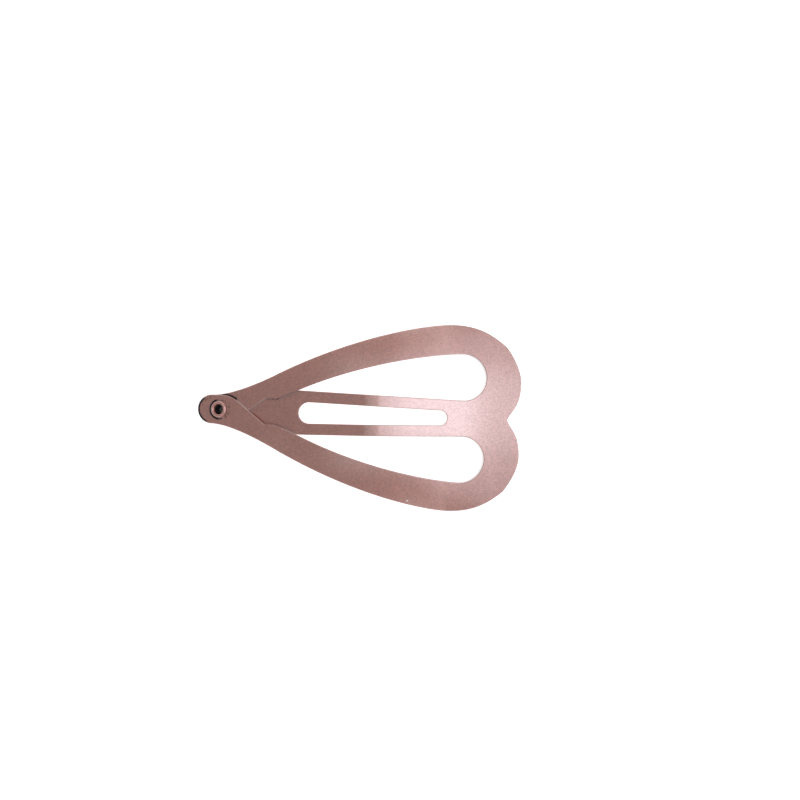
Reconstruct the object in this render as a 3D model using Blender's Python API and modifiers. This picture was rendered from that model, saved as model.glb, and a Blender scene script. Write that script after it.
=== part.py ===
"""Heart-shaped snap hair clip, pressed from spring sheet, in its closed state.

Metres, +Z up. The eyelet end points to -X and the lobed crown to +X. The clip lies on the
tab's round end and on the lobes' lower edges, and its origin is under the middle of its box.

The sheet is one stamping on the real clip. Here it is cut where it bends when the clip snaps:
crown, root, middle and tip of each arm, and tongue. The eyelet holds the overlapped arm tips,
and leans with them.
Plans are drawn with x counted from a point just behind the eyelet's centre, EYELET_AHEAD from it,
and y from the middle line.
"""

import bmesh
import bpy
import math
from mathutils import Matrix, Vector

# Overall plan, in metres
LENGTH = 0.0539             # from the plans' origin to the notch between the lobes
HALF_WIDTH = 0.0175         # middle line to the widest point of a lobe
LOBE_REACH = 0.0025         # how far the lobes pass the notch
SHEET = 0.0005              # thickness of the spring sheet
SEAT_GAP = 0.00025          # between sheets that lie on each other, and at the eyelet
FLEX_GAP = 0.0003           # at the lines where the sheet flexes

# Tab round the eyelet
TAB_RADIUS = 0.0027
TAB_BACK = 0.00143          # the round end's centre lies this far behind the plans' origin
TAB_HOLE_GAP = 0.0002       # between the tab's hole and the eyelet's barrel
TAB_REACH = 0.0027          # the tab is flat this far past the plans' origin
TAB_TILT = math.radians(17)

# Eyelet, a hollow rivet
EYELET_AHEAD = 0.0003       # its centre lies this far past the plans' origin
BORE_RADIUS = 0.0009
EYELET_WALL = 0.00022
RIM_RADIUS = 0.00155
RIM_HEIGHT = 0.00045
FLANGE_RADIUS = 0.0017
FLANGE = 0.0004

# Arms and windows
LOBE_ARM_WIDTH = 0.0055     # sheet left outside the window at the lobe
JOG_HALF_GAP = 0.0024       # half the gap between the arms' stepped inner edges
VEE_CLEARANCE = 0.00010     # between an arm's inner edge and the tongue, seen from above

# Tongue
TONGUE_HALF_VEE = 0.00408   # half the tongue's width where the windows begin
TONGUE_HALF_ROOT = 0.00333  # half its width at the crown
HEAD_HALF = 0.0049          # half the width of the flared head under the arms
HEAD_TIP_GAP = 0.0028       # from the eyelet's flange to the head's tip
SLOT_RADIUS_HEAD = 0.00195
SLOT_RADIUS_ROOT = 0.0014

# Heights of the pressed form
ARCH_RISE = 0.00635         # the arms' highest point over the tabs at the eyelet
CREASE_RISE = 0.00733       # the tongue's crease over the tabs at the eyelet
DISH_RADIUS = 0.0322        # radius of the sheet across the clip

# Shares of LENGTH along x
VEE_SHARE = 0.282           # where the windows begin
WINDOW_SHARE = 0.8435       # where the windows' round ends begin
ROOT_FLEX_SHARE = 0.80      # the arms flex here, at the crown
MIDDLE_FLEX_SHARE = 0.57
TIP_FLEX_SHARE = 0.36
TONGUE_FLEX_SHARE = 0.83
CREASE_SHARE = 0.545
SLOT_END_SHARE = 0.79
HEAD_WIDE_SHARE = 0.20
LOBE_TOP_SHARE = 0.81

# Control points of the outer edge, shares of (LENGTH, HALF_WIDTH)
FLANK_SHARES = ((0.205, 0.402), (0.210, 0.411), (0.466, 0.822), (0.723, 1))
FLANK_START_SHARE = 0.061
SHOULDER_SHARES = ((0.875, 1), (0.929, 0.951), (0.991, 0.789), (1.005, 0.751))
LOBE_END_SHARES = (0.550, 0.402, 0.136)
NOTCH_FLANK_SHARES = (1.012, 0.097)

# Control points of an arm's inner edge, shares of the way from the vee to the window's end
INNER_SHARES = ((0.451, 0.791), (0.918, 1))

# Inner edge of an arm over the tongue's head: shares of LENGTH, then of JOG_HALF_GAP
JOG_SHARES = ((0.202, 1), (0.163, 1))
# Round corner of the tab: shares of (TAB_RADIUS, TAB_RADIUS)
TAB_CORNER_SHARES = ((1.37, 0.57), (1.13, 0.76), (0.81, 0.985), (0.33, 0.99), (0, 0.995))

# Control points of the head, shares of the way from its wide place to the vee and to the tip
HEAD_VEE_SHARES = (0.66, 0.36)
HEAD_TIP_SHARES = (0.47, 0.53)

# Arch past the tab: share of LENGTH, share of ARCH_RISE, slope as the ratio of those shares
ARCH_SHARES = ((0.54, 1, 0), (0.78, 0.53, -3.9), (1.06, -0.03, -1))
CREASE_SLOPE_SHARES = (2.06, -1.5)
# Dish across y: grows from none at the tab to full, then eases towards the lobes
DISH_START_SHARES = (0.06, 0.25)
DISH_END_SHARES = (0.65, 0.95)
DISH_CROWN_SHARE = 0.60
# Where the overlapped arms part in height
STACK_SHARES = (0.12, 0.32)

# Mesh fineness
CELL = 0.0016
OVERRUN = 0.002
MERGE = 0.00001
CURVE_STEPS = 10
ARC_STEPS = 12
ROUND_STEPS = 32
RIM_STEPS = 8
SHARP_ANGLE = math.radians(40)

# Heights and places that follow
STACK = SHEET + SEAT_GAP
TAB_SLOPE = math.tan(TAB_TILT)
TAB_LEVEL = (TAB_BACK + TAB_RADIUS) * TAB_SLOPE + STACK / 2 + SHEET / 2 / math.cos(TAB_TILT)
GRIP = STACK / 2 * math.cos(TAB_TILT) + SHEET / 2 + SEAT_GAP
HOLE_SHIFT = STACK / 2 * math.sin(TAB_TILT) * math.cos(TAB_TILT)
BARREL_RADIUS = BORE_RADIUS + EYELET_WALL
TAB_HOLE = BARREL_RADIUS + TAB_HOLE_GAP
VEE_X = LENGTH * VEE_SHARE
VEE_Y = TONGUE_HALF_VEE + VEE_CLEARANCE
WINDOW_X = LENGTH * WINDOW_SHARE
WINDOW_Y = HALF_WIDTH - LOBE_ARM_WIDTH
CREASE_X = LENGTH * CREASE_SHARE
ROOT_FLEX_X = LENGTH * ROOT_FLEX_SHARE
MIDDLE_FLEX_X = LENGTH * MIDDLE_FLEX_SHARE
TIP_FLEX_X = LENGTH * TIP_FLEX_SHARE
TONGUE_FLEX_X = LENGTH * TONGUE_FLEX_SHARE
HEAD_TIP_X = EYELET_AHEAD + FLANGE_RADIUS + HEAD_TIP_GAP
LOBE_X = LENGTH + LOBE_REACH
TAB_END_X = -TAB_BACK - TAB_RADIUS
MIDDLE_X = (LOBE_X + TAB_END_X) / 2
CLIP_PLACE = Vector((-MIDDLE_X, 0, 0))

LACQUER_COLOUR = (0.50, 0.30, 0.27, 1)
EYELET_COLOUR = (0.52, 0.31, 0.28, 1)


# Curves in the plan

def bezier(start, first, second, end, steps=CURVE_STEPS):
    """Points of a cubic curve between two points, both ends included."""
    points = []
    for step in range(steps + 1):
        t = step / steps
        s = 1 - t
        weights = (s ** 3, 3 * s * s * t, 3 * s * t * t, t ** 3)
        controls = (start, first, second, end)
        points.append(tuple(sum(w * c[i] for w, c in zip(weights, controls)) for i in range(2)))
    return points


def arc(centre, radius, start, end, steps=ARC_STEPS):
    """Points of an arc about a centre, angles in degrees."""
    points = []
    for step in range(steps + 1):
        angle = math.radians(start + (end - start) * step / steps)
        points.append((centre[0] + radius * math.cos(angle), centre[1] + radius * math.sin(angle)))
    return points


def joined(*paths):
    """One path from several that meet, without doubled points."""
    points = []
    for path in paths:
        for point in path:
            if not points or math.dist(points[-1], point) > MERGE:
                points.append(point)
    return points


def stretch(path, low, high):
    """The part of a left-to-right path between two stations, its ends cut exactly there."""
    points = []
    for (x0, y0), (x1, y1) in zip(path, path[1:]):
        for station in (low, high):
            if x0 < station < x1:
                points.append((station, y0 + (y1 - y0) * (station - x0) / (x1 - x0)))
        if low < x1 < high:
            points.append((x1, y1))
    if low < path[0][0] < high:
        points.insert(0, path[0])
    return sorted(points)


def edge_at(path, station):
    """Where a left-to-right path crosses a station."""
    return stretch(path, station, LOBE_X)[0][1]


def mirrored(path):
    """The same path on the other side of the middle line."""
    return [(x, -y) for x, y in path]


def placed(shares):
    """A point from shares of the clip's length and half width."""
    return (shares[0] * LENGTH, shares[1] * HALF_WIDTH)


# Edges of the blank on the +Y side, left to right

def outer_edge():
    """From the tab to the widest point of the lobe."""
    tab = (-TAB_BACK, TAB_RADIUS)
    first, middle, second, last = [placed(shares) for shares in FLANK_SHARES]
    top = (LENGTH * LOBE_TOP_SHARE, HALF_WIDTH)
    near = bezier(tab, (LENGTH * FLANK_START_SHARE, TAB_RADIUS), first, middle)
    return joined(near, bezier(middle, second, last, top))


def lobe_edge():
    """From the lobe's widest point round to the notch."""
    top = (LENGTH * LOBE_TOP_SHARE, HALF_WIDTH)
    first, second, shoulder, third = [placed(shares) for shares in SHOULDER_SHARES]
    above, reach, below = [(LOBE_X, HALF_WIDTH * share) for share in LOBE_END_SHARES]
    flank = placed(NOTCH_FLANK_SHARES)
    return joined(
        bezier(top, first, second, shoulder),
        bezier(shoulder, third, above, reach),
        bezier(reach, below, flank, (LENGTH, 0)),
    )


def inner_edge():
    """From the vee along the window to its round end."""
    wide, high = WINDOW_X - VEE_X, WINDOW_Y - VEE_Y
    first, second = [(VEE_X + wide * sx, VEE_Y + high * sy) for sx, sy in INNER_SHARES]
    return bezier((VEE_X, VEE_Y), first, second, (WINDOW_X, WINDOW_Y), 2 * CURVE_STEPS)


def window_end():
    """The window's round end, from the arm down to the tongue."""
    radius = (WINDOW_Y - TONGUE_HALF_ROOT) / 2
    return arc((WINDOW_X, TONGUE_HALF_ROOT + radius), radius, 90, -90)


def tongue_edge():
    """The tongue's side from the vee to the crown."""
    return [(VEE_X, TONGUE_HALF_VEE), (WINDOW_X, TONGUE_HALF_ROOT)]


def head_edge():
    """The tongue's flared head, from its tip on the middle line to the vee."""
    wide = (LENGTH * HEAD_WIDE_SHARE, HEAD_HALF)
    tip = (HEAD_TIP_X, 0)
    vee = (VEE_X, TONGUE_HALF_VEE)
    run, reach = vee[0] - wide[0], wide[0] - tip[0]
    near, far = HEAD_VEE_SHARES
    to_vee = bezier(wide, (wide[0] + run * far, HEAD_HALF), (wide[0] + run * near, vee[1]), vee)
    side, front = HEAD_TIP_SHARES
    to_wide = bezier(tip, (tip[0], HEAD_HALF * front), (wide[0] - reach * side, HEAD_HALF), wide)
    return joined(to_wide, to_vee)


def tab_inner_path():
    """An arm's inner edge from the vee, over the head, round the tab's corner to its far side.

    Drawn for the arm on the -Y side, whose tab corner lies on the +Y side.
    """
    jog = [(LENGTH * share, -JOG_HALF_GAP * depth) for share, depth in JOG_SHARES]
    corner = [(TAB_RADIUS * sx, TAB_RADIUS * sy) for sx, sy in TAB_CORNER_SHARES]
    rounded = bezier(*corner[:4])
    return joined([(VEE_X, -VEE_Y)], jog, rounded, [corner[4], (-TAB_BACK, TAB_RADIUS)])


# Heights of the pressed sheet

def hermite(x, left, right):
    """Height of a smooth curve between two (x, height, slope) stations."""
    run = right[0] - left[0]
    t = (x - left[0]) / run
    rise = left[1] * (1 + 2 * t) * (1 - t) ** 2 + right[1] * t * t * (3 - 2 * t)
    return rise + run * t * (1 - t) * (left[2] * (1 - t) - right[2] * t)


def ease(x, low, high):
    """A smooth step from 0 at low to 1 at high."""
    t = min(max((x - low) / (high - low), 0), 1)
    return t * t * (3 - 2 * t)


def arch_stations():
    """The arch's stations as (x, height, slope), from the end of the flat tab."""
    stations = [(TAB_REACH, TAB_LEVEL + TAB_REACH * TAB_SLOPE, TAB_SLOPE)]
    for along, rise, slope in ARCH_SHARES:
        height = TAB_LEVEL + ARCH_RISE * rise
        stations.append((LENGTH * along, height, slope * ARCH_RISE / LENGTH))
    return stations


def arch(x):
    """Height of the pressed sheet on the middle line."""
    stations = arch_stations()
    if x <= TAB_REACH:
        return TAB_LEVEL + x * TAB_SLOPE
    for left, right in zip(stations, stations[1:]):
        if x <= right[0]:
            return hermite(x, left, right)
    return stations[-1][1]


def arch_slope(x):
    """Slope of the arch at a station."""
    return (arch(x + MERGE) - arch(x - MERGE)) / (2 * MERGE)


def dish(x, y):
    """How far the sheet falls away from the middle line."""
    grown = ease(x, *[LENGTH * share for share in DISH_START_SHARES])
    eased = ease(x, *[LENGTH * share for share in DISH_END_SHARES])
    return grown * (1 - (1 - DISH_CROWN_SHARE) * eased) * y * y / (2 * DISH_RADIUS)


def stack_offset(x):
    """Half the height between the two overlapped arms."""
    return STACK / 2 * (1 - ease(x, *[LENGTH * share for share in STACK_SHARES]))


def frame_height(x, y):
    """Middle surface of the crown and the arms' roots."""
    return arch(x) - dish(x, y)


def left_tip_height(x, y):
    """Middle surface of the +Y arm's tip, which lies under the other."""
    return frame_height(x, y) - stack_offset(x)


def right_tip_height(x, y):
    """Middle surface of the -Y arm's tip, which lies on top."""
    return frame_height(x, y) + stack_offset(x)


def tongue_line(x):
    """Height of the tongue on the middle line: head under the arms, crease, root."""
    def head(at):
        return arch(at) - stack_offset(at) - STACK
    if x <= VEE_X:
        return head(x)
    rise, fall = [share * ARCH_RISE / LENGTH for share in CREASE_SLOPE_SHARES]
    crease = TAB_LEVEL + CREASE_RISE
    if x <= CREASE_X:
        slope = (head(VEE_X) - head(VEE_X - MERGE)) / MERGE
        return hermite(x, (VEE_X, head(VEE_X), slope), (CREASE_X, crease, rise))
    if x <= WINDOW_X:
        root = (WINDOW_X, arch(WINDOW_X), arch_slope(WINDOW_X))
        return hermite(x, (CREASE_X, crease, fall), root)
    return arch(x)


def tongue_height(x, y):
    """Middle surface of the tongue."""
    return tongue_line(x) - dish(x, y)


# Building

def clear_scene():
    """Remove whatever the scene holds."""
    for obj in list(bpy.data.objects):
        bpy.data.objects.remove(obj, do_unlink=True)


def new_collection(name):
    """A collection linked to the scene."""
    collection = bpy.data.collections.new(name)
    bpy.context.scene.collection.children.link(collection)
    return collection


def new_object(name, mesh, collection):
    """An object at the clip's place."""
    obj = bpy.data.objects.new(name, mesh)
    obj.location = CLIP_PLACE
    collection.objects.link(obj)
    return obj


def lacquered(name, colour):
    """Satin metallic lacquer."""
    material = bpy.data.materials.new(name)
    material.use_nodes = True
    shader = material.node_tree.nodes["Principled BSDF"]
    shader.inputs["Base Color"].default_value = colour
    shader.inputs["Metallic"].default_value = 0.85
    shader.inputs["Roughness"].default_value = 0.36
    return material


def punch(name, outlines, cutters):
    """A tall body with the plan of a member: its outline first, then its holes."""
    curve = bpy.data.curves.new(name, "CURVE")
    curve.dimensions = "2D"
    curve.fill_mode = "BOTH"
    curve.extrude = (TAB_LEVEL + CREASE_RISE + OVERRUN) / 2 + OVERRUN
    for outline in outlines:
        spline = curve.splines.new("POLY")
        spline.points.add(len(outline) - 1)
        for point, (x, y) in zip(spline.points, outline):
            point.co = (x, y, 0, 1)
        spline.use_cyclic_u = True
    drawn = bpy.data.objects.new(name + "_curve", curve)
    cutters.objects.link(drawn)
    bpy.context.view_layer.update()
    evaluated = drawn.evaluated_get(bpy.context.evaluated_depsgraph_get())
    mesh = bpy.data.meshes.new_from_object(evaluated)
    bpy.data.objects.remove(drawn, do_unlink=True)
    bm = bmesh.new()
    bm.from_mesh(mesh)
    bmesh.ops.remove_doubles(bm, verts=bm.verts, dist=MERGE)
    bmesh.ops.recalc_face_normals(bm, faces=bm.faces)
    bm.to_mesh(mesh)
    bm.free()
    cutter = new_object(name, mesh, cutters)
    cutter.location.z = curve.extrude - OVERRUN
    cutter.hide_render = True
    cutter.display_type = "WIRE"
    return cutter


def pressed_sheet(name, outline, height, creases, collection):
    """The pressed form over a member's plan, as an open surface with a thickness."""
    low = [min(point[i] for point in outline) - OVERRUN for i in range(2)]
    high = [max(point[i] for point in outline) + OVERRUN for i in range(2)]
    cells = [max(1, math.ceil((high[i] - low[i]) / CELL)) for i in range(2)]
    size = Matrix.Diagonal((high[0] - low[0], high[1] - low[1], 1, 1))
    place = Matrix.Translation(((low[0] + high[0]) / 2, (low[1] + high[1]) / 2, 0))
    bm = bmesh.new()
    bmesh.ops.create_grid(bm, x_segments=cells[0], y_segments=cells[1], size=0.5, matrix=place @ size)
    for crease in creases:
        whole = bm.verts[:] + bm.edges[:] + bm.faces[:]
        bmesh.ops.bisect_plane(bm, geom=whole, dist=MERGE, plane_co=(crease, 0, 0), plane_no=(1, 0, 0))
    for vertex in bm.verts:
        vertex.co.z = height(vertex.co.x, vertex.co.y)
    mesh = bpy.data.meshes.new(name)
    bm.to_mesh(mesh)
    bm.free()
    obj = new_object(name, mesh, collection)
    solid = obj.modifiers.new("thickness", "SOLIDIFY")
    solid.thickness = SHEET
    solid.offset = 0
    return obj


def member(name, outlines, height, collections, material, creases=()):
    """One member of the stamping: the pressed sheet inside its punched plan."""
    parts, cutters = collections
    obj = pressed_sheet(name, outlines[0], height, creases, parts)
    cut = obj.modifiers.new("outline", "BOOLEAN")
    cut.operation = "INTERSECT"
    cut.solver = "EXACT"
    cut.object = punch(name + "_plan", outlines, cutters)
    obj.data.materials.append(material)
    obj.data.shade_smooth()
    obj.data.set_sharp_from_angle(angle=SHARP_ANGLE)
    return obj


def crown_plan():
    """The lobed plate between the arms' roots and the tongue's."""
    start = ROOT_FLEX_X + FLEX_GAP / 2
    neck = TONGUE_FLEX_X + FLEX_GAP / 2
    outside = joined(stretch(outer_edge(), start, LOBE_X), lobe_edge())
    inside = joined(stretch(inner_edge(), start, LOBE_X), window_end())
    side = stretch(tongue_edge(), neck, LOBE_X)[:1]
    half = joined(side, list(reversed(inside)), outside)
    return joined(half, list(reversed(mirrored(half)))[1:])


def arm_strip_plan(left_flex, right_flex):
    """The +Y arm between two of its flex lines."""
    low, high = left_flex + FLEX_GAP / 2, right_flex - FLEX_GAP / 2
    inside = stretch(inner_edge(), low, high)
    return joined(stretch(outer_edge(), low, high), list(reversed(inside)))


def arm_tip_plan(hole_x):
    """The -Y arm from the eyelet to its first flex line, with the eyelet's hole."""
    high = TIP_FLEX_X - FLEX_GAP / 2
    outside = mirrored(stretch(outer_edge(), -LENGTH, high))
    inside = mirrored(stretch(inner_edge(), -LENGTH, high))
    end = arc((-TAB_BACK, 0), TAB_RADIUS, 90, 270, 2 * ARC_STEPS)
    outline = joined(outside, list(reversed(inside)), tab_inner_path(), end)
    return [outline[:-1], arc((hole_x, 0), TAB_HOLE, 0, 360, ROUND_STEPS)[:-1]]


def tongue_plan():
    """The head, the two strips and the slot between them."""
    high = TONGUE_FLEX_X - FLEX_GAP / 2
    side = joined(head_edge(), stretch(tongue_edge(), -LENGTH, high))
    head_end = (VEE_X + SLOT_RADIUS_HEAD, 0)
    root_end = (LENGTH * SLOT_END_SHARE - SLOT_RADIUS_ROOT, 0)
    slot = joined(
        arc(head_end, SLOT_RADIUS_HEAD, 90, 270),
        arc(root_end, SLOT_RADIUS_ROOT, -90, 90),
    )
    return [joined(side, list(reversed(mirrored(side)))[:-1]), slot]


def eyelet_profile():
    """The rivet's section: over the rim, down its outside, in under the flange and up its bore.

    Heights are counted from halfway between the two tabs.
    """
    middle = (BORE_RADIUS + RIM_RADIUS) / 2
    reach = (RIM_RADIUS - BORE_RADIUS) / 2
    rim = []
    for step in range(RIM_STEPS + 1):
        angle = math.pi * step / RIM_STEPS
        rim.append((middle - reach * math.cos(angle), GRIP + RIM_HEIGHT * math.sin(angle)))
    barrel = [(BARREL_RADIUS, GRIP), (BARREL_RADIUS, -GRIP)]
    flange_end = -GRIP - FLANGE
    flange = [(FLANGE_RADIUS, -GRIP), (FLANGE_RADIUS, flange_end), (BORE_RADIUS, flange_end)]
    return rim + barrel + flange


def eyelet(collection, material):
    """The hollow rivet, turned about its own axis and leaned square to the tabs."""
    bm = bmesh.new()
    ring = [bm.verts.new((x, 0, z)) for x, z in eyelet_profile()]
    for start, end in zip(ring, ring[1:] + ring[:1]):
        bm.edges.new((start, end))
    mesh = bpy.data.meshes.new("eyelet")
    bm.to_mesh(mesh)
    bm.free()
    obj = new_object("eyelet", mesh, collection)
    obj.location += Vector((EYELET_AHEAD, 0, TAB_LEVEL + EYELET_AHEAD * TAB_SLOPE))
    obj.rotation_euler.y = -TAB_TILT
    turned = obj.modifiers.new("turned", "SCREW")
    turned.steps = ROUND_STEPS
    turned.render_steps = ROUND_STEPS
    turned.use_merge_vertices = True
    turned.merge_threshold = MERGE
    obj.data.materials.append(material)
    return obj


def axis_empty(name, x, z, parent, collection):
    """An empty on a flex line, which carries the pieces beyond it."""
    empty = bpy.data.objects.new(name, None)
    empty.empty_display_size = OVERRUN
    empty.matrix_world = Matrix.Translation(CLIP_PLACE + Vector((x, 0, z)))
    collection.objects.link(empty)
    if parent:
        carry(empty, parent)
    return empty


def carry(obj, parent):
    """Parent an object where it stands."""
    bpy.context.view_layer.update()
    obj.parent = parent
    obj.matrix_parent_inverse = parent.matrix_world.inverted()


def flex_axis(name, path, station, parent, collection):
    """The axis at one flex line, half a sheet over the sheet's highest edge there."""
    top = frame_height(station, edge_at(path, station)) + SHEET
    return axis_empty(name, station, top, parent, collection)


def build():
    """All the members and the eyelet."""
    clear_scene()
    parts = new_collection("hair_clip")
    cutters = new_collection("cutters")
    both = (parts, cutters)
    inner = inner_edge()
    root_axis = flex_axis("arms_root_axis", inner, ROOT_FLEX_X, None, parts)
    middle_axis = flex_axis("arms_middle_axis", inner, MIDDLE_FLEX_X, root_axis, parts)
    tip_axis = flex_axis("arms_tip_axis", inner, TIP_FLEX_X, middle_axis, parts)
    tongue_axis = flex_axis("tongue_axis", tongue_edge(), TONGUE_FLEX_X, None, parts)

    member("crown", [crown_plan()], frame_height, both, lacquered("crown_lacquer", LACQUER_COLOUR))

    strips = (
        ("root", MIDDLE_FLEX_X, ROOT_FLEX_X, root_axis),
        ("middle", TIP_FLEX_X, MIDDLE_FLEX_X, middle_axis),
    )
    for place, low, high, axis in strips:
        plan = arm_strip_plan(low, high)
        lacquer = lacquered("arm_" + place + "_lacquer", LACQUER_COLOUR)
        carry(member("left_arm_" + place, [plan], frame_height, both, lacquer), axis)
        carry(member("right_arm_" + place, [mirrored(plan)], frame_height, both, lacquer), axis)

    tip_lacquer = lacquered("arm_tip_lacquer", LACQUER_COLOUR)
    right_tip = arm_tip_plan(EYELET_AHEAD - HOLE_SHIFT)
    left_tip = [mirrored(outline) for outline in arm_tip_plan(EYELET_AHEAD + HOLE_SHIFT)]
    carry(member("left_arm_tip", left_tip, left_tip_height, both, tip_lacquer), tip_axis)
    carry(member("right_arm_tip", right_tip, right_tip_height, both, tip_lacquer), tip_axis)
    carry(eyelet(parts, lacquered("eyelet_lacquer", EYELET_COLOUR)), tip_axis)

    tongue_lacquer = lacquered("tongue_lacquer", LACQUER_COLOUR)
    plan = tongue_plan()
    carry(member("tongue", plan, tongue_height, both, tongue_lacquer, (CREASE_X,)), tongue_axis)


build()
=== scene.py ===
"""Looks of the heart-shaped snap hair clip, closed, in rose-gold lacquer.

The sheet is pressed again here at a fine pitch, with rounded edges, from the sizes that the CAD
part uses. Plans are drawn in metres with x from the CAD part's plan origin, EYELET_AHEAD behind
the eyelet's centre, and y from the middle line.
"""

import math

import bmesh
import bpy
import numpy as np
from mathutils import Matrix, Vector
from mathutils.geometry import delaunay_2d_cdt
from mathutils.kdtree import KDTree


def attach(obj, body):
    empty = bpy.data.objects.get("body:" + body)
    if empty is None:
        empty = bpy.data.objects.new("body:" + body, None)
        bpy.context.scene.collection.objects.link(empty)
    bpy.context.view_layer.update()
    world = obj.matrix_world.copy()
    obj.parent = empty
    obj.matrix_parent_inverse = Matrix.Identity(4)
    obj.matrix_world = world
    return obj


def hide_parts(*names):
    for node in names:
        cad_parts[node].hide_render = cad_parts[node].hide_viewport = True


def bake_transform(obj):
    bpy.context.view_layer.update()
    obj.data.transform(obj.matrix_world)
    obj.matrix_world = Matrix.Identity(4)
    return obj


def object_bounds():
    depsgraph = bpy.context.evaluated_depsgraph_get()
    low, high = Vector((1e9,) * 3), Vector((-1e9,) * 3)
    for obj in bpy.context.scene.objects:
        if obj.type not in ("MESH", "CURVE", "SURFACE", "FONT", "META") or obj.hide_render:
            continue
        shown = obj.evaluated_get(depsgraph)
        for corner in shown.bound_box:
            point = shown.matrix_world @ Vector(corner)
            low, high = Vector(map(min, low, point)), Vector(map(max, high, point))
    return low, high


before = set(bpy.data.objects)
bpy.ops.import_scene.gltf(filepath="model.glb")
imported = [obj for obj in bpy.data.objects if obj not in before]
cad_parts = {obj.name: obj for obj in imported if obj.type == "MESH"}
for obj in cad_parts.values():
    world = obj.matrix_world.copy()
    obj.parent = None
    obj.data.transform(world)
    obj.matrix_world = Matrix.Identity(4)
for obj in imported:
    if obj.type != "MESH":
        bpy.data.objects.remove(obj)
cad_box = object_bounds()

# Sizes of the blank, as in the CAD part
LENGTH = 0.0539             # from the plans' origin to the notch between the lobes
HALF_WIDTH = 0.0175
LOBE_REACH = 0.0025
SHEET = 0.0005
SEAT_GAP = 0.00025          # left between pieces in the CAD part
SHOWN_GAP = 0.00006         # left between the sheets shown here, which touch on the real clip
TAB_RADIUS = 0.0027
TAB_BACK = 0.00143
TAB_HOLE_GAP = 0.0002
TAB_REACH = 0.0027
TAB_TILT = math.radians(17)
EYELET_AHEAD = 0.0003
BORE_RADIUS = 0.0009
EYELET_WALL = 0.00022
RIM_RADIUS = 0.00155
RIM_HEIGHT = 0.00045
FLANGE_RADIUS = 0.0017
FLANGE = 0.0004
LOBE_ARM_WIDTH = 0.0055
JOG_HALF_GAP = 0.0024
VEE_CLEARANCE = 0.00010
TONGUE_HALF_VEE = 0.00408
TONGUE_HALF_ROOT = 0.00333
HEAD_HALF = 0.0049
HEAD_TIP_GAP = 0.0028
SLOT_RADIUS_HEAD = 0.00195
SLOT_RADIUS_ROOT = 0.0014
ARCH_RISE = 0.00635
CREASE_RISE = 0.00733
DISH_RADIUS = 0.0322

# Shares of LENGTH along x
VEE_SHARE = 0.282
WINDOW_SHARE = 0.8435
CREASE_SHARE = 0.545
SLOT_END_SHARE = 0.79
HEAD_WIDE_SHARE = 0.20
LOBE_TOP_SHARE = 0.81

# Control points of the edges and heights, as shares, as in the CAD part
FLANK_SHARES = ((0.205, 0.402), (0.210, 0.411), (0.466, 0.822), (0.723, 1))
FLANK_START_SHARE = 0.061
SHOULDER_SHARES = ((0.875, 1), (0.929, 0.951), (0.991, 0.789), (1.005, 0.751))
LOBE_END_SHARES = (0.550, 0.402, 0.136)
NOTCH_FLANK_SHARES = (1.012, 0.097)
INNER_SHARES = ((0.451, 0.791), (0.918, 1))
JOG_SHARES = ((0.202, 1), (0.163, 1))
TAB_CORNER_SHARES = ((1.37, 0.57), (1.13, 0.76), (0.81, 0.985), (0.33, 0.99), (0, 0.995))
HEAD_VEE_SHARES = (0.66, 0.36)
HEAD_TIP_SHARES = (0.47, 0.53)
ARCH_SHARES = ((0.54, 1, 0), (0.78, 0.53, -3.9), (1.06, -0.03, -1))
CREASE_SLOPE_SHARES = (2.06, -1.5)
DISH_START_SHARES = (0.06, 0.25)
DISH_END_SHARES = (0.65, 0.95)
DISH_CROWN_SHARE = 0.60
STACK_SHARES = (0.12, 0.32)

# Where the shown pieces meet, as shares of LENGTH
CROWN_CUT_SHARE = 0.909
BACK_CUT_SHARE = 0.685
FRONT_CUT_SHARE = 0.464

# Fineness and edges of the shown sheet
PITCH = 0.00045
EDGE_PITCH = 0.0003
EDGE_ROUND = 0.00013
EDGE_STEPS = 4
EDGE_CLEAR_SHARE = 0.55     # points inside keep this share of PITCH from the edge
WALL_ANGLE = 0.02           # the rounding's angle at the two ends of the edge's straight wall
ON_EDGE = 0.5               # a cut's new point is on the edge if its way out is longer than this
CORNER_ANGLE = math.radians(20)     # an outline's turns above this stay sharp
CORNER_REACH = 2.5          # how much longer than the rounding a corner's inset may be
CREASE_BACK = 0.0006        # the photograph's crease is nearer the eyelet than the CAD part's
CREASE_ROUND = 0.0016
CREASE_STEPS = 8
OVERRUN = 0.0006            # plans go on this far past a cut
WINDOW_END_STOP = 1         # an edge along a window's round end stops these degrees short
NEAR = 0.000001
MERGE = NEAR / 10
CURVE_STEPS = 48
ARC_STEPS = 48

# Heights and places that follow
CAD_STACK = SHEET + SEAT_GAP
STACK = SHEET + SHOWN_GAP
TAB_SLOPE = math.tan(TAB_TILT)
TAB_LEVEL = (TAB_BACK + TAB_RADIUS) * TAB_SLOPE + CAD_STACK / 2 + SHEET / 2 / math.cos(TAB_TILT)
CAD_GRIP = CAD_STACK / 2 * math.cos(TAB_TILT) + SHEET / 2 + SEAT_GAP
GRIP = STACK / 2 * math.cos(TAB_TILT) + SHEET / 2
HOLE_SHIFT = STACK / 2 * math.sin(TAB_TILT) * math.cos(TAB_TILT)
BARREL_RADIUS = BORE_RADIUS + EYELET_WALL
TAB_HOLE = BARREL_RADIUS + TAB_HOLE_GAP
VEE_X = LENGTH * VEE_SHARE
VEE_Y = TONGUE_HALF_VEE + VEE_CLEARANCE
WINDOW_X = LENGTH * WINDOW_SHARE
WINDOW_Y = HALF_WIDTH - LOBE_ARM_WIDTH
WINDOW_END_RADIUS = (WINDOW_Y - TONGUE_HALF_ROOT) / 2
WINDOW_END_Y = TONGUE_HALF_ROOT + WINDOW_END_RADIUS
CREASE_X = LENGTH * CREASE_SHARE - CREASE_BACK
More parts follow.
